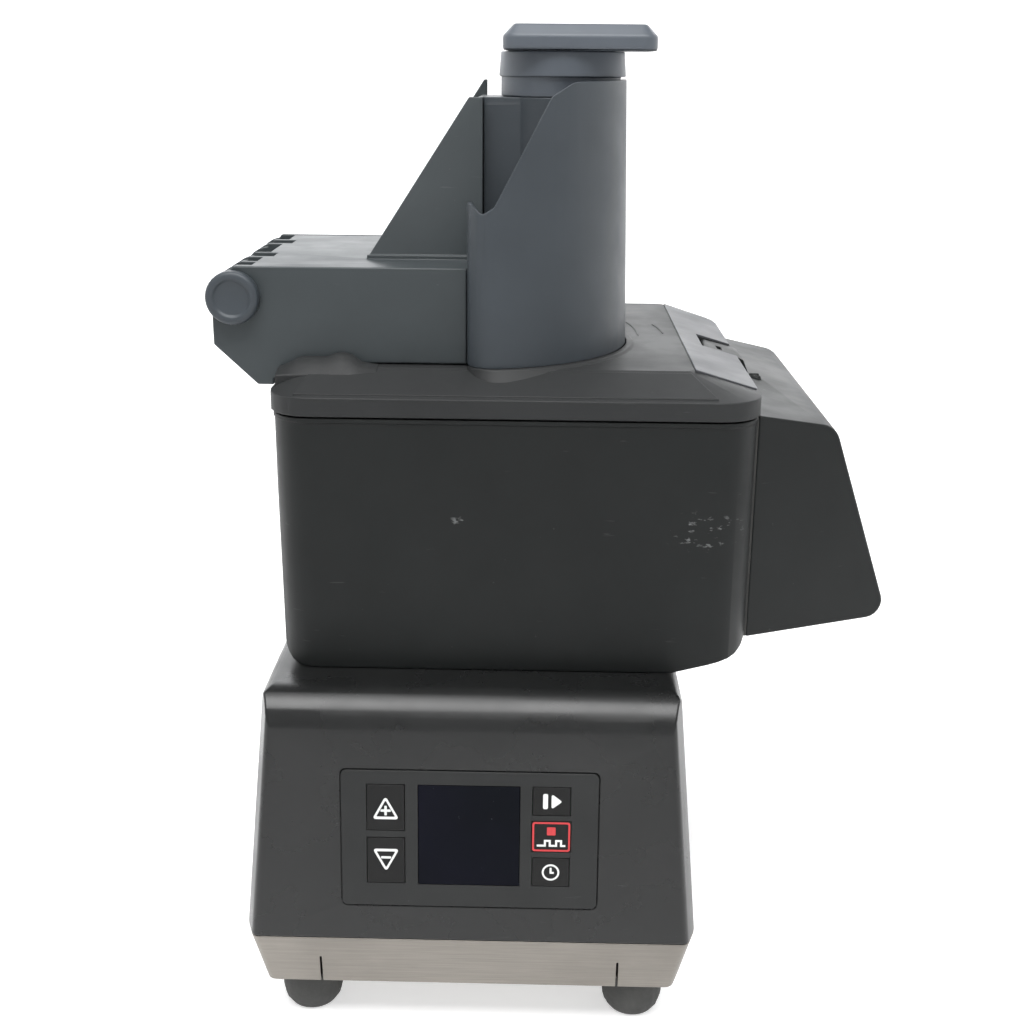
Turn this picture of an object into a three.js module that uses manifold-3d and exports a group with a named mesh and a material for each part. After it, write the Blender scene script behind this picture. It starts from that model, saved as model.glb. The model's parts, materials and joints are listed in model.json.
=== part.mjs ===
// A bench-top vegetable dicer: motor base, cutting chamber, hinged lid with a half-moon hopper,
// lever-operated pusher and side outlet. Millimetres, X right, Y to the back, Z up, origin on the
// bench under the middle of the machine.

import * as THREE from 'three';
import { mergeVertices } from 'three/addons/utils/BufferGeometryUtils.js';
import Module from 'manifold-3d';

const wasm = await Module();
wasm.setup();

// ---------------------------------------------------------------- driving dimensions

const HALF_DEPTH = 154.5;
const HEIGHT = 533;
const GAP = 0.3;

const FOOT = { height: 27, radius: 17, sole: 13, x: 91, front: -126, rear: 116 };
const BASE = { left: -168, right: 79, front: -HALF_DEPTH, rear: 142, bottom: 57.7, top: 195 };
const BASE_MID = (BASE.left + BASE.right) / 2;
const BASE_TAPER = 11.8;
const BASE_WALL = 3;
const BASE_TILT = 5.03 * Math.PI / 180;
const SHOULDER = 22;
const PAN_TAPER = 7.5;
const PAN_WALL = 1.6;

const PANEL = { x: -44.7, z: 116.85 };
const PANEL_PLATE = { x: 0, z: 0, width: 137.2, height: 77.8 };
const DISPLAY = { x: -0.3, z: 2.4, width: 54, height: 57 };
const KEYS = [
  { name: 'key_speed_up', x: -44.7, z: 17.9, width: 20, height: 26 },
  { name: 'key_speed_down', x: -44.7, z: -12.5, width: 20, height: 26 },
  { name: 'key_start', x: 43.7, z: 23.1, width: 19.9, height: 15.9 },
  { name: 'key_stop', x: 43.7, z: 2.9, width: 20.6, height: 17.2 },
  { name: 'key_timer', x: 43.7, z: -17.7, width: 19.8, height: 16.1 },
];

const SHAFT = { x: -52, y: 8, radius: 10 };
const MOTOR = { x: -52, y: 96, radius: 37, shaft: 6 };
const PULLEY = { driven: 40, motor: 14, bottom: 44, top: 58 };

const BOLT_SPREAD = 42;
const BOLT_PLACES = [[-1, -1], [1, -1], [-1, 1], [1, 1]].map(([i, j]) =>
  [SHAFT.x + i * BOLT_SPREAD, SHAFT.y + j * BOLT_SPREAD]);

const CHAMBER = { left: -152.2, right: 105.2, front: -103.2, rear: 153.9, bottom: 195.3, top: 336 };
const CHAMBER_WALL = 3;
const CHAMBER_CORNER = 22;
const DISC_RADIUS = 92.5;
const DISC_Z = { eject: 224, grid: 286, grid_top: 301, slice: 306, nut: 316 };

const CHUTE = { left: 106.1, rear: 153.5, front: -83, end_front: -47, wall: 3, bottom: 209 };
const LID = { left: -154, right: 106.8, front: -104.6, rear: HALF_DEPTH, bottom: 337, rim: 347, top: 357.2 };
const PLATEAU = { left: -137, right: 72, front: -73, rear: 150 };
const LID_WALL = 3;
const LID_HINGE = { x: -157, z: 334, radius: 4.2 };
const LATCH = { x: 90.2, z: 348.4, barrel: 2.7 };
const NOTCH = { left: 86, front: 17, rear: 53 };

const HOPPER = { left: -50, radius: 91, draft: 4, wall: 3, bottom: 325, top: 505.5, sill: 402 };
const BRACKET = { left: -187, front: -65.7, rear: 83, top: 409.2, wall: 3 };
const LEVER_HINGE = { x: -174.7, z: 393, barrel: 14.2, pin: 5 };
const LEVER = { front: -62.2, rear: 79.5, top: 409, plate: 3.5, back: -47, web: 4 };
const PUSHER = { bottom: 318, shelf: 376, top: 495.5, x: -1.5, y: 2, radius: 33, bore_x: -5, bore: 23 };
const CAP = { left: -33, right: 49.2, front: -35, rear: 41, bottom: 519.5 };

// ---------------------------------------------------------------- shape helpers

function solid(geometry) {
  const bare = new THREE.BufferGeometry();
  bare.setAttribute('position', geometry.getAttribute('position').clone());
  if (geometry.index) bare.setIndex(geometry.index.clone());
  const merged = mergeVertices(bare, 1e-4);
  const at = merged.getAttribute('position').array;
  const index = merged.index.array;
  const kept = [];
  for (let i = 0; i < index.length; i += 3) {
    const [a, b, c] = [index[i], index[i + 1], index[i + 2]];
    if (a !== b && b !== c && c !== a) kept.push(a, b, c);
  }
  const mesh = new wasm.Mesh({
    numProp: 3,
    vertProperties: Float32Array.from(at),
    triVerts: Uint32Array.from(kept),
  });
  return new wasm.Manifold(mesh);
}

const join = (first, ...rest) => rest.reduce((sum, piece) => sum.add(piece), first);
const cut = (first, ...rest) => rest.reduce((sum, piece) => sum.subtract(piece), first);
const common = (first, ...rest) => rest.reduce((sum, piece) => sum.intersect(piece), first);

function geometryOf(manifold) {
  const mesh = manifold.getMesh();
  const geometry = new THREE.BufferGeometry();
  geometry.setAttribute('position', new THREE.BufferAttribute(Float32Array.from(mesh.vertProperties), 3));
  geometry.setIndex(new THREE.BufferAttribute(Uint32Array.from(mesh.triVerts), 1));
  geometry.computeVertexNormals();
  return geometry;
}

// Corners are [x, y] or [x, y, radius]; a rounded corner becomes an arc of the given steps.
function outline(corners, steps = 5) {
  const points = [];
  corners.forEach(([x, y, radius = 0], i) => {
    if (radius === 0) {
      points.push(new THREE.Vector2(x, y));
      return;
    }
    const here = new THREE.Vector2(x, y);
    const before = new THREE.Vector2(...corners.at(i - 1)).sub(here).normalize();
    const after = new THREE.Vector2(...corners[(i + 1) % corners.length]).sub(here).normalize();
    const half = Math.acos(THREE.MathUtils.clamp(before.dot(after), -1, 1)) / 2;
    const middle = before.clone().add(after).normalize().multiplyScalar(radius / Math.sin(half)).add(here);
    const start = before.clone().multiplyScalar(radius / Math.tan(half)).add(here).sub(middle);
    const end = after.clone().multiplyScalar(radius / Math.tan(half)).add(here).sub(middle);
    const sweep = Math.atan2(start.cross(end), start.dot(end));
    for (let k = 0; k <= steps; k += 1) {
      points.push(start.clone().rotateAround(new THREE.Vector2(), sweep * k / steps).add(middle));
    }
  });
  return points;
}

const rectangle = (x0, x1, y0, y1, radius = 0, steps = 5) =>
  outline([[x0, y0, radius], [x1, y0, radius], [x1, y1, radius], [x0, y1, radius]], steps);

function extrude(points, depth) {
  return new THREE.ExtrudeGeometry(new THREE.Shape(points), { depth, bevelEnabled: false });
}

const prismZ = (points, z0, z1) => solid(extrude(points, z1 - z0).translate(0, 0, z0));
const prismY = (points, y0, y1) => solid(extrude(points, y1 - y0).rotateX(Math.PI / 2).translate(0, y1, 0));

function prismX(points, x0, x1) {
  const turn = new THREE.Matrix4().makeBasis(
    new THREE.Vector3(0, 1, 0), new THREE.Vector3(0, 0, 1), new THREE.Vector3(1, 0, 0));
  return solid(extrude(points, x1 - x0).applyMatrix4(turn).translate(x0, 0, 0));
}

const box = (x0, x1, y0, y1, z0, z1) => solid(
  new THREE.BoxGeometry(x1 - x0, y1 - y0, z1 - z0)
    .translate((x0 + x1) / 2, (y0 + y1) / 2, (z0 + z1) / 2),
);

function rod(x, y, z0, z1, r0, r1 = r0, segments = 24) {
  const geometry = new THREE.CylinderGeometry(r1, r0, z1 - z0, segments);
  return solid(geometry.rotateX(Math.PI / 2).translate(x, y, (z0 + z1) / 2));
}

function rodY(x, z, y0, y1, radius, segments = 24) {
  const geometry = new THREE.CylinderGeometry(radius, radius, y1 - y0, segments);
  return solid(geometry.translate(0, (y0 + y1) / 2, 0).translate(x, 0, z));
}

function rodX(y, z, x0, x1, radius, segments = 16) {
  const geometry = new THREE.CylinderGeometry(radius, radius, x1 - x0, segments);
  return solid(geometry.rotateZ(-Math.PI / 2).translate((x0 + x1) / 2, y, z));
}

// A turned piece about a vertical axis; its profile [radius, z] runs from the axis up to the axis.
function turned(x, y, profile, segments = 24) {
  const points = profile.map(([radius, z]) => new THREE.Vector2(radius, z));
  return solid(new THREE.LatheGeometry(points, segments).rotateX(Math.PI / 2).translate(x, y, 0));
}

const ring = (x, y, z0, z1, outer, inner, segments = 32) =>
  cut(rod(x, y, z0, z1, outer, outer, segments), rod(x, y, z0 - 1, z1 + 1, inner, inner, segments));

// A closed skin through outlines of equal length, each at its own height.
function loft(sections) {
  const count = sections[0].points.length;
  const position = sections.flatMap(({ z, points }) => points.flatMap((p) => [p.x, p.y, z]));
  const index = [];
  for (let s = 0; s + 1 < sections.length; s += 1) {
    for (let i = 0; i < count; i += 1) {
      const a = s * count + i;
      const b = s * count + (i + 1) % count;
      index.push(a, b, b + count, a, b + count, a + count);
    }
  }
  const last = (sections.length - 1) * count;
  THREE.ShapeUtils.triangulateShape(sections[0].points, []).forEach(([a, b, c]) => index.push(c, b, a));
  THREE.ShapeUtils.triangulateShape(sections.at(-1).points, [])
    .forEach(([a, b, c]) => index.push(last + a, last + b, last + c));
  const geometry = new THREE.BufferGeometry();
  geometry.setAttribute('position', new THREE.Float32BufferAttribute(position, 3));
  geometry.setIndex(index);
  return solid(geometry);
}

// Moves every point of a solid; the rule changes a THREE.Vector3 in place.
function bend(manifold, rule) {
  const geometry = geometryOf(manifold);
  const at = geometry.getAttribute('position');
  const point = new THREE.Vector3();
  for (let i = 0; i < at.count; i += 1) {
    rule(point.fromBufferAttribute(at, i));
    at.setXYZ(i, point.x, point.y, point.z);
  }
  return solid(geometry);
}

// ---------------------------------------------------------------- scene helpers

const dicer = new THREE.Group();

const FINISH = {
  shell_black: { color: 0x1c1e1f, roughness: 0.5, metalness: 0 },
  lid_grey: { color: 0x2b2e2f, roughness: 0.5, metalness: 0 },
  hopper_grey: { color: 0x363c42, roughness: 0.45, metalness: 0 },
  lever_grey: { color: 0x343c3c, roughness: 0.5, metalness: 0 },
  rubber: { color: 0x161616, roughness: 0.85, metalness: 0 },
  steel: { color: 0x8f8f8c, roughness: 0.35, metalness: 1 },
  aluminium: { color: 0xb4b7b9, roughness: 0.4, metalness: 1 },
  panel: { color: 0x26282a, roughness: 0.6, metalness: 0 },
  key: { color: 0x0b0b0c, roughness: 0.5, metalness: 0 },
  glass: { color: 0x070a12, roughness: 0.08, metalness: 0 },
  board: { color: 0x1f5a35, roughness: 0.6, metalness: 0 },
  copper: { color: 0x5d6063, roughness: 0.5, metalness: 1 },
};

function add(name, manifold, finish, parent = dicer) {
  const mesh = new THREE.Mesh(geometryOf(manifold), new THREE.MeshStandardMaterial(FINISH[finish]));
  mesh.name = name;
  parent.add(mesh);
}

// ---------------------------------------------------------------- base

// The base seen from above at height z, drawn in by inset: steep chamfers turn its front corners.
function baseOutline(z, inset = 0) {
  const up = z - BASE.bottom;
  const below = Math.max(0, -up) / (BASE.bottom - FOOT.height);
  const side = Math.max(0, up) / (BASE.top - BASE.bottom) * BASE_TAPER + below * PAN_TAPER + inset;
  const [left, right] = [BASE.left + side, BASE.right - side];
  const front = BASE.front + Math.max(0, up) * Math.tan(BASE_TILT) + below * PAN_TAPER * 0.6 + inset;
  const rear = BASE.rear - Math.abs(up) * 0.03 - inset;
  return outline([
    [left + 5, front, 5], [right - 5, front, 5], [right, front + 14, 9],
    [right, rear, 14], [left, rear, 14], [left, front + 14, 9],
  ], 4);
}

const baseBlock = (z0, z1, inset) =>
  loft([{ z: z0, points: baseOutline(z0, inset) }, { z: z1, points: baseOutline(z1, inset) }]);

// The housing's block with its rounded shoulders, drawn in by inset on every side but the bottom.
function housingBlock(inset) {
  const top = BASE.top - inset;
  const front = BASE.front - 2;
  const tilt = (z) => BASE.front + (z - BASE.bottom) * Math.tan(BASE_TILT) + inset;
  const side = prismX(outline([
    [tilt(20), 20], [BASE.rear + 5, 20], [BASE.rear + 5 - inset, top - 9],
    [BASE.rear - 8 - inset, top, 8], [tilt(top), top, SHOULDER - inset],
  ], 7), BASE.left - 5, BASE.right + 5);
  const across = prismY(outline([
    [BASE.left - 9, 20], [BASE.right + 9, 20], [BASE.right - BASE_TAPER + 0.1 - inset, top, 7],
    [BASE.left + BASE_TAPER - 0.1 + inset, top, 7],
  ], 4), front - 5, BASE.rear + 9);
  return common(baseBlock(BASE.bottom - (inset ? 4 : 0), BASE.top, inset), side, across);
}

// Turns a piece drawn in the panel's own frame (x right, y into the machine, z up the slope) to its place.
function onPanel(manifold) {
  const geometry = geometryOf(manifold).rotateX(-BASE_TILT);
  const face = BASE.front + (PANEL.z - BASE.bottom) * Math.tan(BASE_TILT);
  return solid(geometry.translate(PANEL.x, face, PANEL.z));
}

const panelPlate = (part, grow, y0, y1, radius) => prismY(rectangle(
  part.x - part.width / 2 - grow, part.x + part.width / 2 + grow,
  part.z - part.height / 2 - grow, part.z + part.height / 2 + grow, radius, 3), y0, y1);

function addFeet() {
  for (const [end, y] of [['front', FOOT.front], ['rear', FOOT.rear]]) {
    for (const [side, x] of [['left', BASE_MID - FOOT.x], ['right', BASE_MID + FOOT.x]]) {
      add(`foot_${end}_${side}`, turned(x, y, [
        [0, 0], [FOOT.sole, 0], [FOOT.radius - 1.2, 4], [FOOT.radius, 10],
        [FOOT.radius, FOOT.height - GAP], [0, FOOT.height - GAP],
      ], 20), 'rubber');
    }
  }
}

function addBasePan() {
  const top = BASE.bottom - GAP;
  const outer = baseBlock(FOOT.height, top, 0);
  const inner = baseBlock(FOOT.height + 2, top + 2, PAN_WALL);
  const slits = [BASE_MID - 82, BASE_MID + 81].map((x) =>
    box(x - 0.5, x + 0.5, BASE.front - 2, BASE.front + 12, FOOT.height - 1, FOOT.height + 17));
  add('base_pan', cut(outer, inner, ...slits), 'steel');
}

function addHousing() {
  const window = onPanel(prismY(rectangle(-57, 57, -32, 35, 3), -4, 12));
  const recess = onPanel(panelPlate(PANEL_PLATE, GAP, -4, 1.1, 3));
  const vents = Array.from({ length: 7 }, (_, i) =>
    box(-100 + i * 14, -95 + i * 14, BASE.rear - 9, BASE.rear + 9, 84, 128));
  const shaftHole = rod(SHAFT.x, SHAFT.y, 180, 200, 24, 24, 32);
  const glandHole = rodY(46, 84, BASE.rear - 12, BASE.rear + 6, 8.3, 24);
  const shell = cut(housingBlock(0), housingBlock(BASE_WALL));
  const boltHoles = BOLT_PLACES.map(([x, y]) => rod(x, y, 185, 200, 2.8, 2.8, 16));
  const housing = cut(shell, window, recess, shaftHole, glandHole, ...vents, ...boltHoles);
  add('motor_housing', housing, 'shell_black');
}

function addPanel() {
  const plate = panelPlate(PANEL_PLATE, 0, -0.6, 0.8, 3);
  const holes = [DISPLAY, ...KEYS].map((part) => panelPlate(part, GAP, -3, 3, 0));
  add('control_panel', onPanel(cut(plate, ...holes)), 'panel');
  const glass = join(panelPlate(DISPLAY, 0, -0.5, 3, 0), panelPlate(DISPLAY, 2, 1.2, 3, 0));
  add('display_screen', onPanel(glass), 'glass');
  for (const key of KEYS) {
    const cap = panelPlate(key, 0, -0.7, 2.6, 0);
    const stem = rodY(key.x, key.z, 2.5, 5.5, 2.5, 16);
    add(key.name, onPanel(join(cap, stem)), 'key');
  }
}

function addControlBoard() {
  const board = prismY(rectangle(-64, 64, -34, 36, 2), 8, 9.6);
  const transformer = box(-50, -22, 9.5, 34, -24, 4);
  const heatsink = box(10, 34, 9.5, 26, -22, 22);
  const connectors = [-12, -2].map((x) => box(x, x + 7, 9.5, 18, -27, -19));
  const posts = [[-61, 31], [61, 31], [-61, -30], [61, -30]].map(([x, z]) => rodY(x, z, 4.2, 9, 2.6, 16));
  add('control_board', onPanel(join(board, transformer, heatsink, ...connectors, ...posts)), 'board');
}

function addDrive() {
  const { x, y, radius } = SHAFT;
  const collar = join(rod(x, y, 184, BASE.top - BASE_WALL - GAP, 46, 46, 32), rod(x, y, 92, 185, 27, 27, 32));
  const bores = [
    rod(x, y, 91, 193, 15),
    rod(x, y, 91, 104, 21.3, 21.3, 32),
    rod(x, y, 179.4, 193, 21.3, 21.3, 32),
  ];
  add('bearing_housing', cut(collar, ...bores), 'aluminium');
  add('lower_bearing', ring(x, y, 91.7, 103.7, 21, radius + GAP), 'steel');
  add('upper_bearing', ring(x, y, 179.7, 191.7, 21, radius + GAP), 'steel');
  add('main_shaft', turned(x, y, [
    [0, 38], [radius, 38], [radius, 221], [radius - 1, 222], [radius - 1, DISC_Z.slice + 5],
    [5, DISC_Z.slice + 5.2], [5, DISC_Z.nut - 1.5], [0, DISC_Z.nut - 1.5],
  ]), 'steel');
  const groove = (r) => [
    [0, PULLEY.bottom], [r + 2.4, PULLEY.bottom], [r + 2.4, PULLEY.bottom + 1.6], [r, PULLEY.bottom + 1.8],
    [r, PULLEY.top - 1.8], [r + 2.4, PULLEY.top - 1.6], [r + 2.4, PULLEY.top], [0, PULLEY.top],
  ];
  const lightening = Array.from({ length: 5 }, (_, i) => {
    const turn = i * 2 * Math.PI / 5;
    return rod(x + 27 * Math.cos(turn), y + 27 * Math.sin(turn), 40, 62, 6.5, 6.5, 12);
  });
  const driven = join(turned(x, y, groove(PULLEY.driven), 36), rod(x, y, PULLEY.top - 1, 70, 17));
  add('driven_pulley', cut(driven, rod(x, y, 40, 72, radius + GAP), ...lightening), 'aluminium');
  const small = turned(MOTOR.x, MOTOR.y, groove(PULLEY.motor), 24);
  const smallBore = rod(MOTOR.x, MOTOR.y, 40, 62, MOTOR.shaft + GAP, MOTOR.shaft + GAP, 16);
  add('motor_pulley', cut(small, smallBore), 'aluminium');
  add('motor_shaft', rod(MOTOR.x, MOTOR.y, 42, 150, MOTOR.shaft, MOTOR.shaft, 16), 'steel');
  add('drive_belt', cut(beltLoop(2.9, 46.2, 55.8), beltLoop(GAP, 45, 57)), 'rubber');
}

function arc(x, y, radius, from, to, steps) {
  return Array.from({ length: steps + 1 }, (_, k) => {
    const turn = from + (to - from) * k / steps;
    return new THREE.Vector2(x + radius * Math.cos(turn), y + radius * Math.sin(turn));
  });
}

// The block inside the belt's path round both pulleys, at a distance from their faces.
function beltLoop(off, z0, z1) {
  const lean = Math.asin((PULLEY.driven - PULLEY.motor) / (MOTOR.y - SHAFT.y));
  return prismZ([
    ...arc(SHAFT.x, SHAFT.y, PULLEY.driven + off, Math.PI - lean, 2 * Math.PI + lean, 22),
    ...arc(MOTOR.x, MOTOR.y, PULLEY.motor + off, lean, Math.PI - lean, 8),
  ], z0, z1);
}

function addMotor() {
  const { x, y, radius } = MOTOR;
  const can = turned(x, y, [
    [0, 66.4], [radius - 5, 66.4], [radius, 71], [radius, 152], [radius - 6, 158], [0, 158],
  ], 28);
  add('motor_body', cut(can, rod(x, y, 60, 153, MOTOR.shaft + GAP, MOTOR.shaft + GAP, 16)), 'copper');
  const plate = box(x - 53, x + 53, 56, 134, 62, 66);
  const legs = [[-48, 61], [48, 61], [-48, 129], [48, 129]].map(([dx, legY]) =>
    rod(x + dx, legY, FOOT.height + 2 + GAP, 63, 4, 4, 16));
  add('motor_mount', cut(join(plate, ...legs), rod(x, y, 60, 70, 20)), 'steel');
  const gland = join(rodY(46, 84, 128, 142.5, 8, 24), rodY(46, 84, 141.9, 147, 11, 6));
  add('cable_gland', cut(gland, rodY(46, 84, 120, 150, 4.5, 20)), 'rubber');
}

// ---------------------------------------------------------------- cutting chamber and outlet

const chamberPlan = (inset, z0, z1) => prismZ(rectangle(CHAMBER.left + inset, CHAMBER.right - inset,
  CHAMBER.front + inset, CHAMBER.rear - inset, CHAMBER_CORNER - inset, 6), z0, z1);

// The chamber across the machine: drafted left side, rounded foot, floor rising to the outlet.
const chamberSection = (inset, top) => prismY(outline([
  [CHAMBER.left + 2.5 + inset, CHAMBER.bottom + inset, 12 - inset], [64, CHAMBER.bottom + inset],
  [CHAMBER.right - inset, 206 + inset, 14 - inset], [CHAMBER.right - inset, top], [CHAMBER.left + inset, top],
], 5), CHAMBER.front - 5, CHAMBER.rear + 5);

const KNUCKLES = { chamber: [[22, 38], [76, 92]], lid: [38.4, 75.6] };

function addChamber() {
  const { x, y, radius } = SHAFT;
  const outer = common(chamberPlan(0, 190, CHAMBER.top), chamberSection(0, CHAMBER.top + 1));
  const inner = common(chamberPlan(CHAMBER_WALL, 190, 350), chamberSection(CHAMBER_WALL, 350));
  const lip = cut(chamberPlan(-0.6, CHAMBER.top - 2.5, CHAMBER.top), chamberPlan(1, 330, 340));
  const ribs = common(join(
    box(-151, -143, y - 8, y + 8, 197, DISC_Z.grid - GAP),
    box(x - 8, x + 8, CHAMBER.front + 1, y - 91.5, 197, DISC_Z.grid - GAP),
    box(x - 8, x + 8, y + 92, CHAMBER.rear - 1, 197, DISC_Z.grid - GAP),
  ), outer);
  const collar = rod(x, y, 196, 218, 20, 20, 36);
  const lugs = KNUCKLES.chamber.map(([y0, y1]) => join(
    rodY(LID_HINGE.x, LID_HINGE.z, y0, y1, LID_HINGE.radius, 20),
    box(LID_HINGE.x - 1, CHAMBER.left + 2, y0, y1, LID_HINGE.z - 9, LID_HINGE.z),
  ));
  const [lidKnuckle0, lidKnuckle1] = KNUCKLES.lid;
  const cuts = [
    rod(x, y, 190, 230, 12), rod(x, y, 206, 230, 15.8),
    rodY(LID_HINGE.x, LID_HINGE.z, 10, 100, 2 + GAP, 16),
    rodY(LID_HINGE.x, LID_HINGE.z, lidKnuckle0 - 0.4, lidKnuckle1 + 0.4, LID_HINGE.radius + 0.8, 24),
    box(98, 110, -66, 138, 214, 318),
    ...BOLT_PLACES.map(([bx, by]) => rod(bx, by, 190, 202, 2.8, 2.8, 16)),
  ];
  add('cutting_chamber', cut(join(cut(outer, inner), lip, ribs, collar, ...lugs), ...cuts), 'shell_black');
  add('shaft_seal', ring(x, y, 206.3, 217.6, 15.5, radius + GAP, 32), 'rubber');
  add('lid_hinge_pin', rodY(LID_HINGE.x, LID_HINGE.z, 20, 94, 2, 16), 'steel');
  BOLT_PLACES.forEach(([bx, by], i) => {
    const head = rod(bx, by, CHAMBER.bottom + CHAMBER_WALL + GAP, 203, 4.5, 4.5, 6);
    const shank = rod(bx, by, 187, 200, 2.5, 2.5, 16);
    add(`chamber_bolt_${i + 1}`, join(head, shank), 'steel');
  });
}

// The outlet hood across the machine, drawn in by inset and run down to the given height.
function chuteSection(inset, bottom) {
  const bend = [151.6 - inset * 1.25, 325.5 - inset];
  const slope = (192.7 - 151.6) / (325.5 - 209);
  const left = CHUTE.left - (inset ? 20 : 0);
  return prismY(outline([
    [left, bottom],
    [bend[0] + (bend[1] - bottom) * slope, bottom, inset ? 0 : 9],
    [...bend, 14 - inset],
    [left, bend[1] + 10.1 + (inset ? 4.4 : 0)],
  ], 6), -120, 170);
}

function chutePlan(inset) {
  const lean = (CHUTE.end_front - CHUTE.front) / 83.5;
  const front = (x) => CHUTE.front + (x - CHUTE.left) * lean + inset * 1.09;
  return prismZ(outline([[80, front(80)], [200, front(200)],
    [200, CHUTE.rear - inset], [80, CHUTE.rear - inset]]), 180, 345);
}

function addChute() {
  const beside = box(CHUTE.left, 200, -120, 170, 180, 345);
  const outer = common(chuteSection(0, CHUTE.bottom), chutePlan(0), beside);
  const inner = common(chuteSection(CHUTE.wall, 190), chutePlan(CHUTE.wall));
  const ribs = [[24, 26.4], [31, 33.4]].map(([y0, y1]) => box(116.5, 122.5, y0, y1, 331, 334.4));
  add('outlet_chute', join(cut(outer, inner), ...ribs), 'shell_black');
}

// ---------------------------------------------------------------- cutting tools

function addTools() {
  const { x, y, radius } = SHAFT;
  const bore = radius - 1 + GAP;
  const around = (count, make) => Array.from({ length: count }, (_, i) =>
    make(i).rotate([0, 0, i * 360 / count]).translate([x, y, 0]));

  const vanes = around(6, () => box(24, 86, -1.5, 1.5, DISC_Z.eject + 2, 250));
  const plate = rod(x, y, DISC_Z.eject, DISC_Z.eject + 3, 88, 88, 40);
  const ejector = join(plate, rod(x, y, 222.4, 262.3, 22, 18), ...vanes);
  add('ejector_disc', cut(ejector, rod(x, y, 220, 270, bore)), 'aluminium');

  const top = DISC_Z.slice + 3;
  const slots = around(3, () => box(24, 87, -13, -1, DISC_Z.slice - 1, top + 1));
  const face = rod(x, y, DISC_Z.slice, top, DISC_RADIUS, DISC_RADIUS, 44);
  const disc = join(face, rod(x, y, 262.6, top + 2, 16));
  add('slicing_disc', cut(disc, ...slots, rod(x, y, 260, 320, bore)), 'aluminium');
  const bladeLift = [0, 8.5, top + GAP + 2];
  around(3, () => box(22, 88, -10, 10, -0.6, 0.6).rotate([-8, 0, 0]).translate(bladeLift))
    .forEach((blade, i) => add(`slicing_blade_${i + 1}`, blade, 'steel'));
  const nut = turned(x, y, [[0, 311.3], [15, 311.3], [15, 314], [12, DISC_Z.nut], [0, DISC_Z.nut]], 24);
  add('disc_nut', cut(nut, rod(x, y, 310, 315, 5.3, 5.3, 20)), 'steel');
}

// A ring, hub and two spokes carry the lattice of blades, which fills the right-hand side.
function addDicingGrid() {
  const { x, y } = SHAFT;
  const { grid, grid_top: top } = DISC_Z;
  const pitch = 17.2;
  const blade = 1.4;
  const ringInner = 91.4;
  const hubOuter = 28;
  const latticeLeft = -44;
  const spokes = [-40, 40].map((turn) =>
    box(-93, -22, -3, 3, grid, top).rotate([0, 0, turn]).translate([x, y, 0]));
  const rim = ring(x, y, grid, top, 95, ringInner, 40);
  const hub = ring(x, y, grid, top, hubOuter, 19, 24);
  add('grid_frame', cut(join(rim, hub, ...spokes), rod(x, y, 280, 310, 19)), 'steel');

  // Polygon corners of the ring's bore stand inside its nominal radius, so the lattice keeps clear.
  const outer = (ringInner - GAP) * Math.cos(Math.PI / 40);
  const halfPlane = box(latticeLeft, 60, -100, 120, 270, 320);
  const field = common(rod(x, y, grid, top, outer, outer, 40), halfPlane);
  const inside = common(rod(x, y, 280, 310, outer - 1.8, outer - 1.8, 40), halfPlane.translate([3, 0, 0]));
  const window = cut(inside, rod(x, y, 280, 310, hubOuter + 2.2, hubOuter + 2.2, 24));
  const cells = [];
  for (let i = 0; i < 5; i += 1) {
    for (let j = -5; j <= 5; j += 1) {
      const cx = latticeLeft + 3 + (i + 0.5) * pitch;
      const cy = y + j * pitch;
      const half = (pitch - blade) / 2;
      cells.push(box(cx - half, cx + half, cy - half, cy + half, 280, 310));
    }
  }
  const hubHole = rod(x, y, 280, 310, hubOuter + GAP, hubOuter + GAP, 24);
  add('dicing_grid', cut(field, common(join(...cells), window), hubHole), 'steel');
}

// ---------------------------------------------------------------- lid and hopper

// The half-moon seen from above: an arc round the shaft, closed by a straight left side.
function halfMoon(radius, left, corner) {
  const cx = left + corner;
  const reach = Math.sqrt((radius - corner) ** 2 - (cx - SHAFT.x) ** 2);
  const turn = Math.atan2(reach, cx - SHAFT.x);
  return [
    ...arc(cx, SHAFT.y - reach, corner, Math.PI, 2 * Math.PI - turn, 4),
    ...arc(SHAFT.x, SHAFT.y, radius, -turn, turn, 22),
    ...arc(cx, SHAFT.y + reach, corner, turn, Math.PI, 4),
  ];
}

function lidBlock(inset, z0, drop) {
  const rim = rectangle(
    LID.left + inset, LID.right - inset, LID.front + inset, LID.rear - inset, 23 - inset, 5);
  const plateau = rectangle(PLATEAU.left + drop, PLATEAU.right - drop, PLATEAU.front + drop,
    PLATEAU.rear - inset, 5, 5);
  return loft([
    { z: z0, points: rim },
    { z: LID.rim - drop, points: rim },
    { z: LID.top - drop, points: plateau },
  ]);
}

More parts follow.
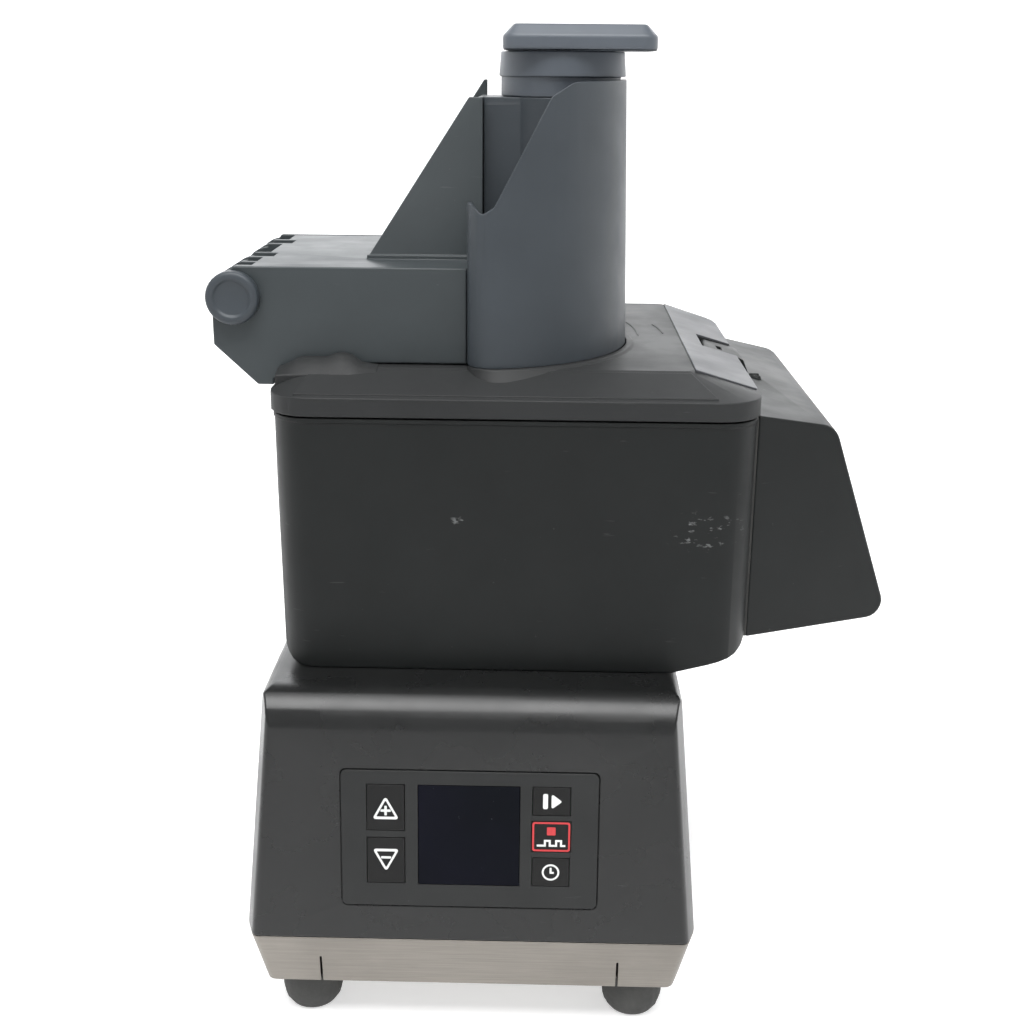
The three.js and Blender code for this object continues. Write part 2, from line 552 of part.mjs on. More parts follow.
function addLid() {
  const shell = cut(lidBlock(0, LID.bottom, 0), lidBlock(7.5, LID.bottom - 5, LID_WALL));
  const plinth = loft([
    { z: 345, points: halfMoon(104, HOPPER.left - GAP, 20) },
    { z: LID.top + 1.6, points: halfMoon(95, HOPPER.left - GAP, 16) },
  ]);
  const block = box(83, LID.right, NOTCH.front - 4, NOTCH.rear + 4, LID.bottom, 352);
  const pocket = common(block, lidBlock(0, LID.bottom, 0));
  const notch = prismY(outline([[NOTCH.left, 370], [NOTCH.left, 345.4], [108, 340.6], [108, 370]]),
    NOTCH.front, NOTCH.rear);
  const [knuckle0, knuckle1] = KNUCKLES.lid;
  const knuckle = join(
    rodY(LID_HINGE.x, LID_HINGE.z, knuckle0, knuckle1, LID_HINGE.radius, 20),
    prismY(outline([
      [LID_HINGE.x - 3.6, LID_HINGE.z + 1], [LID_HINGE.x, LID_HINGE.z - 1],
      [LID.left + 3, LID.bottom + 1], [LID.left + 3, LID.bottom + 6], [LID.left, LID.bottom + 6],
    ]), knuckle0, knuckle1),
  );
  const hole = prismZ(halfMoon(HOPPER.radius + GAP, HOPPER.left - GAP, 14), 320, 370);
  const cuts = [
    hole, notch,
    rodY(LID_HINGE.x, LID_HINGE.z, 10, 100, 2 + GAP, 16),
    ...KNUCKLES.chamber.map(([y0, y1]) =>
      rodY(LID_HINGE.x, LID_HINGE.z, y0 - 0.4, y1 + 0.4, LID_HINGE.radius + 0.8, 24)),
    rodY(LATCH.x, LATCH.z, NOTCH.front - 2.5, NOTCH.rear + 2.5, 1.2 + GAP, 16),
  ];
  add('lid', cut(join(shell, plinth, pocket, knuckle), ...cuts), 'lid_grey');
  const sealRing = cut(chamberPlan(3.9, 333, LID.bottom - GAP), chamberPlan(6.5, 330, 340));
  add('lid_seal', sealRing, 'rubber');
}

function addLatch() {
  const tongue = prismY(outline([
    [LATCH.x, LATCH.z - 2.4], [107.6, 341.7], [111.6, 334.6], [114.4, 335.6],
    [110.4, 345.2], [107.6, 346.6, 2], [LATCH.x, LATCH.z + 2.7],
  ], 3), NOTCH.front + 0.6, NOTCH.rear - 0.6);
  const barrel = rodY(LATCH.x, LATCH.z, NOTCH.front + 0.6, NOTCH.rear - 0.6, LATCH.barrel, 20);
  const slot = box(96, 99, 30, 40, 330, 360);
  const bore = rodY(LATCH.x, LATCH.z, 0, 70, 1.2 + GAP, 16);
  add('lid_latch', cut(join(tongue, barrel), slot, bore), 'shell_black');
  add('latch_pin', rodY(LATCH.x, LATCH.z, NOTCH.front - 2.2, NOTCH.rear + 2.2, 1.2, 16), 'steel');
}

function addHopper() {
  const { left, radius, draft, wall, bottom, top } = HOPPER;
  const skin = (inset, z0, z1) => loft([
    { z: z0, points: halfMoon(radius - inset, left + inset, 14 - inset) },
    { z: LID.top, points: halfMoon(radius - inset, left + inset, 14 - inset) },
    { z: z1, points: halfMoon(radius - inset - draft, left + inset, 14 - inset) },
  ]);
  const rim = prismY(outline([
    [-60, 300], [60, 300], [60, top], [5, top - 1.5, 9], [-6.4, top - 8.5, 4], [-35.5, 442, 2.5],
    [-42, 438, 2.5], [-47, 443.5, 2], [-60, 443.5],
  ], 4), -110, 130);
  const mouth = box(left - 5, left + wall + 0.5, BRACKET.front + 3, BRACKET.rear - 3, HOPPER.sill, 520);
  const tube = cut(skin(0, bottom, top + 2), skin(wall, bottom - 5, top + 8));
  add('hopper', cut(common(tube, rim), mouth), 'hopper_grey');
}

function addBracket() {
  const { left, front, rear, top, wall } = BRACKET;
  const { x, z, barrel, pin } = LEVER_HINGE;
  const right = HOPPER.left - GAP;
  const body = prismY(outline([
    [left, 367], [-164, 345.3], [-155.2, 345.3], [-155.2, 348.4], [-138.2, LID.top + GAP * 2],
    [right, LID.top + GAP * 2], [right, top], [x, top], [left, 393],
  ]), front, rear);
  const cheeks = rodY(x, z, front, rear, barrel, 28);
  const hollow = prismY(outline([
    [left + wall, 368.4], [-162.8, 348.4], [-157, 348.4], [-139.2, 361], [right + 5, 361], [right + 5, 430],
    [left - 20, 430], [left - 20, 378], [left + wall, 378],
  ]), front + wall, rear - wall);
  const posts = [[-22, -8], [38, 52]].map(([y0, y1]) => common(join(
    rodY(x, z, y0, y1, 12, 20), box(x - 7, x + 7, y0, y1, 340, z)), join(body, cheeks)));
  const plinth = loft([
    { z: 340, points: halfMoon(104, HOPPER.left - GAP, 20) },
    { z: 362, points: halfMoon(104, HOPPER.left - GAP, 20) },
  ]);
  const shell = join(cut(join(body, cheeks), hollow), ...posts);
  add('hinge_bracket', cut(shell, rodY(x, z, front - 5, rear + 5, pin + GAP, 20), plinth), 'lever_grey');
  const pinBody = join(
    rodY(x, z, front - 0.5, rear + 1, pin, 20),
    solid(new THREE.LatheGeometry([[0, 0], [12.4, 0], [14.3, 1.8], [14.3, 8 - GAP], [0, 8 - GAP]]
      .map(([r, h]) => new THREE.Vector2(r, h)), 32).translate(x, front - 8, z)),
  );
  add('lever_pin', pinBody, 'hopper_grey');
}

// ---------------------------------------------------------------- lever and pusher

const WEB_FOOT = -108.3;
const BACK = { x0: -46.5, x1: -43.5 };
const SCREW_HEIGHTS = [430, 470];
const SKIRT_REACH = 137.8;

function addLever() {
  const { x, z, barrel, pin } = LEVER_HINGE;
  const { front, rear, top, plate, web } = LEVER;
  const knuckles = [[front, -22.4], [-7.6, 37.6], [52.4, rear]].map(([y0, y1]) =>
    rodY(x, z, y0, y1, barrel - GAP, 28));
  const slots = [[-22.4, -7.6], [37.6, 52.4]].map(([y0, y1]) => box(x - 20, -161, y0, y1, 380, 420));
  const pockets = [[-58.5, -46.5], [-43, -26], [-4, 34], [56, rear + 5]].map(([y0, y1]) =>
    box(x - 20, -166, y0, y1, 402, 420));
  const deck = box(x, BACK.x1, front, rear, top - plate, top);
  const webShape = (height) => {
    const reach = (height - top) * 0.664;
    return outline([[WEB_FOOT, top - 1], [BACK.x1, top - 1], [BACK.x1, height], [WEB_FOOT + reach, height]]);
  };
  const webs = [
    prismY(webShape(PUSHER.top), -29.7, -29.7 + web),
    prismY(webShape(504), 34 - web, 34),
    box(WEB_FOOT + 1, BACK.x1, -31.4, -29, top - 1, top + 2.4),
  ];
  const back = box(BACK.x0, BACK.x1, -29.7, 34, 402, PUSHER.top);
  const holes = SCREW_HEIGHTS.map((height) => rodX(PUSHER.y, height, -60, -30, 2.3, 16));
  const bore = rodY(x, z, front - 5, rear + 5, pin + GAP, 20);
  const arm = cut(join(deck, ...knuckles, ...webs, back), ...slots, ...pockets, ...holes, bore);
  add('lever_arm', arm, 'lever_grey');
}

// Draws the half-moon skirt back so that it swings past the hopper's walls as the lever lifts: each
// corner keeps one distance from the hinge, and the least is beyond the top of the hopper's left wall.
function swingClear(point) {
  if (point.z >= LEVER_HINGE.z) return;
  const out = point.x - LEVER_HINGE.x;
  point.setX(LEVER_HINGE.x + Math.sqrt(out ** 2 - (LEVER_HINGE.z - point.z) ** 2));
}

function addPusher() {
  const { bottom, shelf, top, x, y, radius, bore_x: bx, bore } = PUSHER;
  const left = HOPPER.left + HOPPER.wall + 0.6;
  const skin = 2.6;
  const rimBottom = top - 4.5;
  const skirtRadius = HOPPER.radius - HOPPER.wall - HOPPER.draft - 0.4;
  const skirt = (inset, z0, z1) => {
    const rows = 3;
    const sections = Array.from({ length: rows + 1 }, (_, i) => ({
      z: z0 + (z1 - z0) * i / rows,
      points: halfMoon(skirtRadius - 0.4 - inset, LEVER_HINGE.x + SKIRT_REACH + inset, 10),
    }));
    const straight = halfMoon(skirtRadius - inset, left + inset, 10);
    return common(bend(loft(sections), swingClear), prismZ(straight, z0, z1));
  };
  const innerRadius = radius - skin;
  const floor = bottom + 4;
  const cup = cut(skirt(0, bottom, shelf), skirt(skin, floor, shelf + 1));
  const round = join(
    common(ring(x, y, floor - 1, shelf + 1, radius, innerRadius, 28), skirt(0, bottom, shelf)),
    ring(x, y, shelf - 1, top, radius, innerRadius, 28),
  );
  const cheeks = [[y - 24.6, y - 22], [y + 22, y + 24.6]].map(([y0, y1]) =>
    box(BACK.x1 + GAP, -23, y0, y1, shelf - 1, rimBottom + 1));
  const tower = join(cut(round, box(-60, -25, -60, 60, floor, rimBottom)), ...cheeks);
  const tongue = box(BACK.x1 + GAP, x, y - 24, y + 24, rimBottom, top);
  const rim = join(rod(x, y, rimBottom, top, radius, radius, 28), tongue);
  const tube = rod(bx, y, bottom, top, bore + 2.5, bore + 2.5, 28);
  const block = join(
    box(BACK.x1 + GAP, bx, y - 8, y + 8, shelf + 8, top),
    box(-32, bx, y - 8, y + 8, floor - 1, shelf + 9),
  );
  const holes = SCREW_HEIGHTS.map((height) => rodX(y, height, -60, -36, 2.3, 16));
  const pusher = join(cup, tower, rim, tube, block);
  add('pusher', cut(pusher, rod(bx, y, bottom - 1, top + 1, bore, bore, 28), ...holes), 'hopper_grey');
  SCREW_HEIGHTS.forEach((height, i) => {
    const head = rodX(y, height, BACK.x0 - 3.2, BACK.x0 - GAP, 4, 20);
    const shank = rodX(y, height, BACK.x0 - 1, -36.5, 2, 16);
    add(`pusher_screw_${i + 1}`, join(head, shank), 'steel');
  });
}

function addTubePusher() {
  const { top, x, y, radius, bore_x: bx, bore } = PUSHER;
  const stem = rod(bx, y, 322, top + 2, bore - 0.5, bore - 0.5, 28);
  const collar = join(
    rod(x, y, top + GAP, 507, radius, radius, 28),
    rod(x + 0.8, y, 506.2, CAP.bottom - GAP, radius + 2, radius + 1, 28),
  );
  const hollow = rod(bx, y, 326, CAP.bottom + 1, bore - 3, bore - 3, 24);
  add('tube_pusher', cut(join(stem, collar), hollow), 'hopper_grey');
  const plan = (inset) => rectangle(CAP.left + inset, CAP.right - inset, CAP.front + inset, CAP.rear - inset,
    Math.max(3, 9 - inset), 4);
  add('tube_pusher_cap', loft([
    { z: CAP.bottom, points: plan(0.8) }, { z: CAP.bottom + 1, points: plan(0) },
    { z: HEIGHT - 6, points: plan(0) }, { z: HEIGHT, points: plan(6) },
  ]), 'hopper_grey');
}

addFeet();
addBasePan();
addHousing();
addPanel();
addControlBoard();
addDrive();
addMotor();
addChamber();
addChute();
addTools();
addDicingGrid();
addLid();
addLatch();
addHopper();
addBracket();
addLever();
addPusher();
addTubePusher();

export default dicer;
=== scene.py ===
"""The looks of a bench-top vegetable dicer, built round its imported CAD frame. Metres, +Z up."""

import json
import math

import bmesh
import bpy
from mathutils import Matrix, Vector


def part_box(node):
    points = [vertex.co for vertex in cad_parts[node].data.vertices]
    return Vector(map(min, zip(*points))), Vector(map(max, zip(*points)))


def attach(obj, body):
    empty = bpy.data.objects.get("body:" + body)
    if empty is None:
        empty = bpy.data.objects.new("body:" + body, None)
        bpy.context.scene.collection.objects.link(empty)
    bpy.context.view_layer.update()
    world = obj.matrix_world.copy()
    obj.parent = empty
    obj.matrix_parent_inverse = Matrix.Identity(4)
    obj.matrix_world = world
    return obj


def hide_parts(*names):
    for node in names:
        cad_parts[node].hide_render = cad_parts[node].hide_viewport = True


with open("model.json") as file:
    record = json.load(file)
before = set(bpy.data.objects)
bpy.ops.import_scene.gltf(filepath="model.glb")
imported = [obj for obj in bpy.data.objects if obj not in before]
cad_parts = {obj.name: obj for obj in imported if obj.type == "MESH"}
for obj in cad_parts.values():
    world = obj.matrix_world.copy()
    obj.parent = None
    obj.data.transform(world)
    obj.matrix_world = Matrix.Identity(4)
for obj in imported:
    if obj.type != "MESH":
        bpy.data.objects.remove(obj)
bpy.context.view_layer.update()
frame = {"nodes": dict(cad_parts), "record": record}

MM = 0.001
BODIES = frame["record"]["behaviour"]["bodies"]
BODY_OF = {node: body for body, nodes in BODIES.items() for node in nodes}
SLOT_OF = {part["node"]: part["material_slot"] for part in frame["record"]["subparts"]}


# ------------------------------------------------------------------ materials


class Shader:
    """A node tree round one Principled shader, with short calls for its procedural inputs."""

    def __init__(self, name, color, roughness, metallic=0.0, specular=0.5):
        self.material = bpy.data.materials.new(name)
        self.material.use_nodes = True
        self.nodes = self.material.node_tree.nodes
        self.links = self.material.node_tree.links
        self.bsdf = self.nodes["Principled BSDF"]
        self.bsdf.inputs["Base Color"].default_value = (*color, 1.0)
        self.bsdf.inputs["Roughness"].default_value = roughness
        self.bsdf.inputs["Metallic"].default_value = metallic
        self.bsdf.inputs["Specular IOR Level"].default_value = specular
        self.place = self.nodes.new("ShaderNodeTexCoord").outputs["Object"]

    def stretched(self, scale):
        mapping = self.nodes.new("ShaderNodeMapping")
        mapping.inputs["Scale"].default_value = scale
        self.links.new(self.place, mapping.inputs["Vector"])
        return mapping.outputs["Vector"]

    def noise(self, scale, detail=3.0, rough=0.55, stretch=None):
        node = self.nodes.new("ShaderNodeTexNoise")
        node.inputs["Scale"].default_value = scale
        node.inputs["Detail"].default_value = detail
        node.inputs["Roughness"].default_value = rough
        place = self.stretched(stretch) if stretch else self.place
        self.links.new(place, node.inputs["Vector"])
        return node.outputs["Fac"]

    def ramp(self, value, low, high, out_low=0.0, out_high=1.0):
        node = self.nodes.new("ShaderNodeMapRange")
        node.inputs["From Min"].default_value = low
        node.inputs["From Max"].default_value = high
        node.inputs["To Min"].default_value = out_low
        node.inputs["To Max"].default_value = out_high
        self.links.new(value, node.inputs["Value"])
        return node.outputs["Result"]

    def math(self, operation, first, second):
        node = self.nodes.new("ShaderNodeMath")
        node.operation = operation
        for socket, value in zip(node.inputs, (first, second)):
            if isinstance(value, (int, float)):
                socket.default_value = value
            else:
                self.links.new(value, socket)
        return node.outputs["Value"]

    def mix(self, amount, first, second):
        node = self.nodes.new("ShaderNodeMix")
        node.data_type = "RGBA"
        self.links.new(amount, node.inputs["Factor"])
        for socket, value in ((node.inputs[6], first), (node.inputs[7], second)):
            if isinstance(value, tuple):
                socket.default_value = (*value, 1.0)
            else:
                self.links.new(value, socket)
        return node.outputs[2]

    def mask_near(self, centre, reach):
        """1 at a place, in metres, falling to 0 at the given reach along each axis."""
        offset = self.nodes.new("ShaderNodeVectorMath")
        offset.operation = "SUBTRACT"
        self.links.new(self.place, offset.inputs[0])
        offset.inputs[1].default_value = centre
        shrink = self.nodes.new("ShaderNodeVectorMath")
        shrink.operation = "DIVIDE"
        self.links.new(offset.outputs[0], shrink.inputs[0])
        shrink.inputs[1].default_value = reach
        length = self.nodes.new("ShaderNodeVectorMath")
        length.operation = "LENGTH"
        self.links.new(shrink.outputs[0], length.inputs[0])
        return self.ramp(length.outputs["Value"], 0.45, 1.0, 1.0, 0.0)

    def paint(self, color):
        self.links.new(color, self.bsdf.inputs["Base Color"])

    def gloss(self, roughness):
        self.links.new(roughness, self.bsdf.inputs["Roughness"])

    def relief(self, height, strength, distance, edge=0.0):
        bump = self.nodes.new("ShaderNodeBump")
        bump.inputs["Strength"].default_value = strength
        bump.inputs["Distance"].default_value = distance
        self.links.new(height, bump.inputs["Height"])
        if edge:
            rounded = self.nodes.new("ShaderNodeBevel")
            rounded.samples = 4
            rounded.inputs["Radius"].default_value = edge
            self.links.new(rounded.outputs["Normal"], bump.inputs["Normal"])
        self.links.new(bump.outputs["Normal"], self.bsdf.inputs["Normal"])


def shade(color, factor):
    return tuple(min(1.0, channel * factor) for channel in color)


def plastic(name, color, roughness, specular, grain=0.16, scuffs=()):
    """Moulded plastic: fine spark-eroded grain, cloudy handling marks, dust and hairline scratches."""
    look = Shader(name, color, roughness, specular=specular)
    cloud = look.ramp(look.noise(9.0, 4.0), 0.3, 0.72)
    base = look.mix(cloud, shade(color, 0.86), shade(color, 1.16))
    hairline = look.ramp(look.noise(55.0, 2.0, stretch=(1.0, 1.0, 9.0)), 0.74, 0.80)
    speck = look.ramp(look.noise(420.0, 1.0), 0.80, 0.84)
    marks = look.math("MULTIPLY", look.math("MAXIMUM", hairline, speck), 0.06)
    for centre, reach, strength in scuffs:
        stroke = look.ramp(look.noise(170.0, 3.0, stretch=(1.0, 1.0, 2.4)), 0.60, 0.68)
        patch = look.math("MULTIPLY", stroke, look.mask_near(centre, reach))
        marks = look.math("MAXIMUM", marks, look.math("MULTIPLY", patch, strength))
    look.paint(look.mix(marks, base, (0.34, 0.35, 0.35)))
    smear = look.ramp(look.noise(26.0, 5.0), 0.35, 0.7, roughness - 0.05, roughness + 0.08)
    look.gloss(smear)
    look.relief(look.noise(1500.0, 2.0), grain, 0.00008, edge=0.0006)
    return look.material


def brushed(name, color, roughness):
    """Stainless brushed along X, with faint smears and grime."""
    look = Shader(name, color, roughness, metallic=1.0)
    lines = look.noise(24.0, 4.0, 0.7, stretch=(1.0, 60.0, 60.0))
    grime = look.ramp(look.noise(13.0, 5.0), 0.42, 0.75, 0.0, 0.55)
    streaked = look.mix(look.ramp(lines, 0.3, 0.7), shade(color, 0.82), shade(color, 1.12))
    look.paint(look.mix(grime, streaked, shade(color, 0.62)))
    look.gloss(look.ramp(lines, 0.25, 0.75, roughness - 0.07, roughness + 0.12))
    look.relief(lines, 0.10, 0.00005, edge=0.0004)
    return look.material


def machined(name, color, roughness, metallic=1.0):
    look = Shader(name, color, roughness, metallic=metallic)
    swirl = look.noise(380.0, 3.0, 0.6)
    look.paint(look.mix(look.ramp(swirl, 0.3, 0.7), shade(color, 0.88), shade(color, 1.08)))
    look.gloss(look.ramp(swirl, 0.3, 0.7, roughness - 0.06, roughness + 0.10))
    look.relief(swirl, 0.07, 0.00004, edge=0.0004)
    return look.material


def rubber(name, color):
    look = Shader(name, color, 0.82, specular=0.35)
    pores = look.noise(520.0, 4.0, 0.7)
    dust = look.ramp(look.noise(34.0, 5.0), 0.45, 0.72, 0.0, 0.45)
    look.paint(look.mix(dust, color, (0.075, 0.075, 0.07)))
    look.gloss(look.ramp(pores, 0.3, 0.7, 0.72, 0.92))
    look.relief(pores, 0.35, 0.00018, edge=0.0006)
    return look.material


def display(name):
    """A dark display behind polished glass: a blue-black field with a little dust."""
    look = Shader(name, (0.003, 0.004, 0.008), 0.09, specular=0.07)
    field = look.mix(look.ramp(look.noise(16.0, 2.0), 0.3, 0.7),
                     (0.0022, 0.0030, 0.0055), (0.0040, 0.0042, 0.0095))
    dust = look.ramp(look.noise(650.0, 1.0), 0.79, 0.82, 0.0, 0.3)
    look.paint(look.mix(dust, field, (0.2, 0.22, 0.25)))
    look.gloss(look.ramp(look.noise(40.0, 3.0), 0.3, 0.7, 0.07, 0.15))
    look.relief(look.noise(60.0, 2.0), 0.02, 0.0001)
    return look.material


def printed(name, color):
    look = Shader(name, color, 0.5)
    ink = look.noise(900.0, 2.0)
    look.paint(look.mix(look.ramp(ink, 0.25, 0.6), shade(color, 0.86), color))
    look.relief(ink, 0.06, 0.00003)
    return look.material


SCUFFS = (
    ((0.078, -0.103, 0.277), (0.024, 0.03, 0.013), 0.40),
    ((-0.052, -0.103, 0.281), (0.006, 0.03, 0.004), 0.35),
)

LOOKS = {
    "rubber_black": rubber("rubber_black", (0.052, 0.052, 0.050)),
    "brushed_steel": brushed("brushed_steel", (0.235, 0.219, 0.198), 0.38),
    "housing_black": plastic("housing_black", (0.008, 0.0084, 0.0084), 0.28, 0.44, grain=0.14),
    "chamber_black": plastic("chamber_black", (0.008, 0.0092, 0.0090), 0.46, 0.24,
                             grain=0.12, scuffs=SCUFFS),
    "lid_grey": plastic("lid_grey", (0.019, 0.0200, 0.0205), 0.54, 0.27),
    "hopper_grey": plastic("hopper_grey", (0.036, 0.043, 0.050), 0.44, 0.36, grain=0.08),
    "lever_grey": plastic("lever_grey", (0.034, 0.041, 0.044), 0.46, 0.40, grain=0.12),
    "panel_film": plastic("panel_film", (0.014, 0.0148, 0.0148), 0.55, 0.35, grain=0.10),
    "key_black": plastic("key_black", (0.0045, 0.0045, 0.0045), 0.46, 0.28, grain=0.06),
    "display_glass": display("display_glass"),
    "board_green": machined("board_green", (0.02, 0.10, 0.045), 0.55, metallic=0.0),
    "machined_aluminium": machined("machined_aluminium", (0.55, 0.56, 0.57), 0.34),
    "bright_steel": machined("bright_steel", (0.50, 0.50, 0.51), 0.28),
    "motor_grey": plastic("motor_grey", (0.10, 0.11, 0.12), 0.45, 0.45),
}
# A lighter copy of hopper_grey for the tube pusher and its cap: painted light, standing in for those
# parts being less shaded than the hopper.
HOPPER_GREY_PAINTED_LIGHT = plastic("hopper_grey_painted_light", (0.072, 0.083, 0.098), 0.42, 0.44, grain=0.08)
# A lighter, glossier copy of the lid's grey for its right side plate: the lighter colour is a painted
# reflection of the bright back, seen at a grazing angle.
LID_PAINTED_SHEEN = plastic("lid_painted_sheen", (0.036, 0.038, 0.043), 0.46, 0.50, grain=0.20)
WHITE_INK = printed("white_ink", (0.78, 0.79, 0.78))
RED_INK = printed("red_ink", (0.55, 0.035, 0.04))


# ------------------------------------------------------------------ mesh helpers

WELD_GAP = 2e-6
FACET_ANGLE = math.radians(0.7)
SLIVER = 1e-5
AXIS_RADIUS = 0.02

def settle(name, bm, body, slot, material=None, replaced=(), smooth=34.0):
    """Turns a bmesh drawn in metres into a piece that rides on a body."""
    mesh = bpy.data.meshes.new(name)
    bmesh.ops.recalc_face_normals(bm, faces=bm.faces)
    bm.to_mesh(mesh)
    bm.free()
    for face in mesh.polygons:
        face.use_smooth = True
    mesh.set_sharp_from_angle(angle=math.radians(smooth))
    piece = bpy.data.objects.new(name, mesh)
    bpy.context.scene.collection.objects.link(piece)
    mesh.materials.append(material or LOOKS[slot])
    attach(piece, body)
    if replaced:
        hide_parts(*replaced)
    return piece


def soften(piece, width, segments=3, angle=30.0):
    """Rounds a piece's edges by a real radius, in millimetres."""
    rounding = piece.modifiers.new("rounding", "BEVEL")
    rounding.width = width * MM
    rounding.segments = segments
    rounding.limit_method = "ANGLE"
    rounding.angle_limit = math.radians(angle)
    rounding.use_clamp_overlap = False
    rounding.harden_normals = False
    return piece


def refined(node, width, segments=3):
    """The node's own shape with its flat facets merged and every edge rounded."""
    bm = bmesh.new()
    bm.from_mesh(frame["nodes"][node].data)
    bmesh.ops.remove_doubles(bm, verts=bm.verts, dist=WELD_GAP)
    bmesh.ops.dissolve_limit(bm, angle_limit=FACET_ANGLE, verts=bm.verts, edges=bm.edges)
    bmesh.ops.dissolve_degenerate(bm, edges=bm.edges, dist=SLIVER)
    piece = settle(f"{node}_shell", bm, BODY_OF[node], SLOT_OF[node], replaced=(node,))
    return soften(piece, width, segments)


def skin(bm, rows, caps=True):
    """Joins closed rows of equal numbers of points, in millimetres, into a surface."""
    made = [[bm.verts.new(Vector(point) * MM) for point in row] for row in rows]
    count = len(made[0])
    for low, high in zip(made, made[1:]):
        for i in range(count):
            j = (i + 1) % count
            bm.faces.new((low[i], low[j], high[j], high[i]))
    if caps:
        bm.faces.new(made[0][::-1])
        bm.faces.new(made[-1])
    return made


def rounded(corners, steps=8):
    """A closed outline from (x, y, radius) corners, with each corner drawn as an arc."""
    points = []
    for i, (x, y, radius) in enumerate(corners):
        here = Vector((x, y))
        before = (Vector(corners[i - 1][:2]) - here).normalized()
        after = (Vector(corners[(i + 1) % len(corners)][:2]) - here).normalized()
        half = math.acos(max(-1.0, min(1.0, before.dot(after)))) / 2
        middle = here + (before + after).normalized() * (radius / math.sin(half))
        start = here + before * (radius / math.tan(half)) - middle
        end = here + after * (radius / math.tan(half)) - middle
        sweep = math.atan2(start.x * end.y - start.y * end.x, start.dot(end))
        for k in range(steps + 1):
            turn = Matrix.Rotation(sweep * k / steps, 2)
            points.append(tuple(middle + turn @ start))
    return points


def oblong(x, y, width, height, radius, steps=8):
    left, right, low, high = x - width / 2, x + width / 2, y - height / 2, y + height / 2
    corners = ((left, low), (right, low), (right, high), (left, high))
    return rounded([(*corner, radius) for corner in corners], steps)


def lathe(name, profile, place, body, slot, axis="Z", replaced=(), steps=72, teeth=None):
    """A turned piece. Rows on the axis keep a tiny radius; teeth scales the radius by row and angle."""
    bm = bmesh.new()
    rows = []
    for index, (radius, height) in enumerate(profile):
        row = []
        for k in range(steps):
            turn = 2 * math.pi * k / steps
            reach = max(radius, AXIS_RADIUS) * (teeth(index, turn) if teeth else 1.0)
            row.append((reach * math.cos(turn), reach * math.sin(turn), height))
        rows.append(row)
    skin(bm, rows)
    if axis == "Y":
        bmesh.ops.transform(bm, matrix=Matrix.Rotation(-math.pi / 2, 4, "X"), verts=bm.verts)
    bmesh.ops.translate(bm, vec=Vector(place) * MM, verts=bm.verts)
    return settle(name, bm, body, slot, replaced=replaced, smooth=40.0)


def bead(name, path, radius, body, slot, flat=1.0, sides=10):
    """A thin rounded rib that follows a path of points, pressed flat in Z."""
    bm = bmesh.new()
    points = [Vector(point) for point in path]
    rows = []
    for i, point in enumerate(points):
        ahead = (points[min(i + 1, len(points) - 1)] - points[max(i - 1, 0)]).normalized()
        side = ahead.cross(Vector((0, 0, 1))).normalized()
        up = side.cross(ahead)
        taper = 0.25 if i in (0, len(points) - 1) else 1.0
        turns = [2 * math.pi * k / sides for k in range(sides)]
        rows.append([
            point + (side * math.cos(t) + up * math.sin(t) * flat) * radius * taper for t in turns
        ])
    skin(bm, rows)
    return settle(name, bm, body, slot, smooth=60.0)


# ------------------------------------------------------------------ feet, pan and housing

FOOT_ROWS = (
    (0.0, 0.0), (11.2, 0.0), (13.0, 0.7), (15.6, 4.2), (16.7, 8.0), (17.0, 10.5),
    (17.0, 22.6), (16.2, 24.0), (16.6, 25.2), (16.4, 26.6), (0.0, 26.6),
)


def grip(index, turn):
    return 1.0 - 0.022 * (0.5 + 0.5 * math.cos(turn * 18)) if 3 <= index <= 6 else 1.0


for foot in [node for node in BODIES["base"] if node.startswith("foot_")]:
    low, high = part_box(foot)
    centre = (low + high) / 2 / MM
    lathe(f"{foot}_moulded", FOOT_ROWS, (centre.x, centre.y, 0), "base", "rubber_black",
          replaced=(foot,), teeth=grip)

refined("base_pan", 0.45, 2)
refined("motor_housing", 0.8)


# ------------------------------------------------------------------ control panel

# The housing's front leans back by TILT from (FRONT_Y, FRONT_Z), and the panel lies on it.
TILT = math.radians(5.03)
FRONT_Y, FRONT_Z = -154.5, 57.7
PANEL_X, PANEL_Z = -44.7, 116.85
PANEL_FACE = FRONT_Y + (PANEL_Z - FRONT_Z) * math.tan(TILT)
PANEL_PLACE = Matrix.Translation(Vector((PANEL_X, PANEL_FACE, PANEL_Z)) * MM)
ON_PANEL = PANEL_PLACE @ Matrix.Rotation(-TILT, 4, "X")
LEFT_KEYS_X, RIGHT_KEYS_X = -44.7, 43.7
KEY_FACE = -0.7
PRINT = 0.12

refined("control_panel", 0.3, 2)
refined("display_screen", 0.25, 2)
for key in [node for node in BODY_OF if node.startswith("key_")]:
    refined(key, 0.3, 2)


def on_panel(name, loops, body, material, slot, thick=PRINT):
    """A thin printed shape on a key: one loop filled, or a pair of loops with a band between."""
    bm = bmesh.new()
    outer = loops[0]
    front = [(x, KEY_FACE - thick, z) for x, z in outer]
    back = [(x, KEY_FACE, z) for x, z in outer]
    if len(loops) == 1:
        skin(bm, [back, front])
    else:
        inner = loops[1]
        inner_front = [(x, KEY_FACE - thick, z) for x, z in inner]
        inner_back = [(x, KEY_FACE, z) for x, z in inner]
        skin(bm, [back, front, inner_front, inner_back, back], caps=False)
        bmesh.ops.remove_doubles(bm, verts=bm.verts, dist=1e-7)
    bmesh.ops.transform(bm, matrix=ON_PANEL, verts=bm.verts)
    return settle(name, bm, body, slot, material=material)


def triangle(x, z, half, up, radius):
    tip = 0.92 * half * (1 if up else -1)
    corners = [(x - half, z - tip, radius), (x + half, z - tip, radius), (x, z + tip, radius)]
    return rounded(corners if up else corners[::-1], 6)


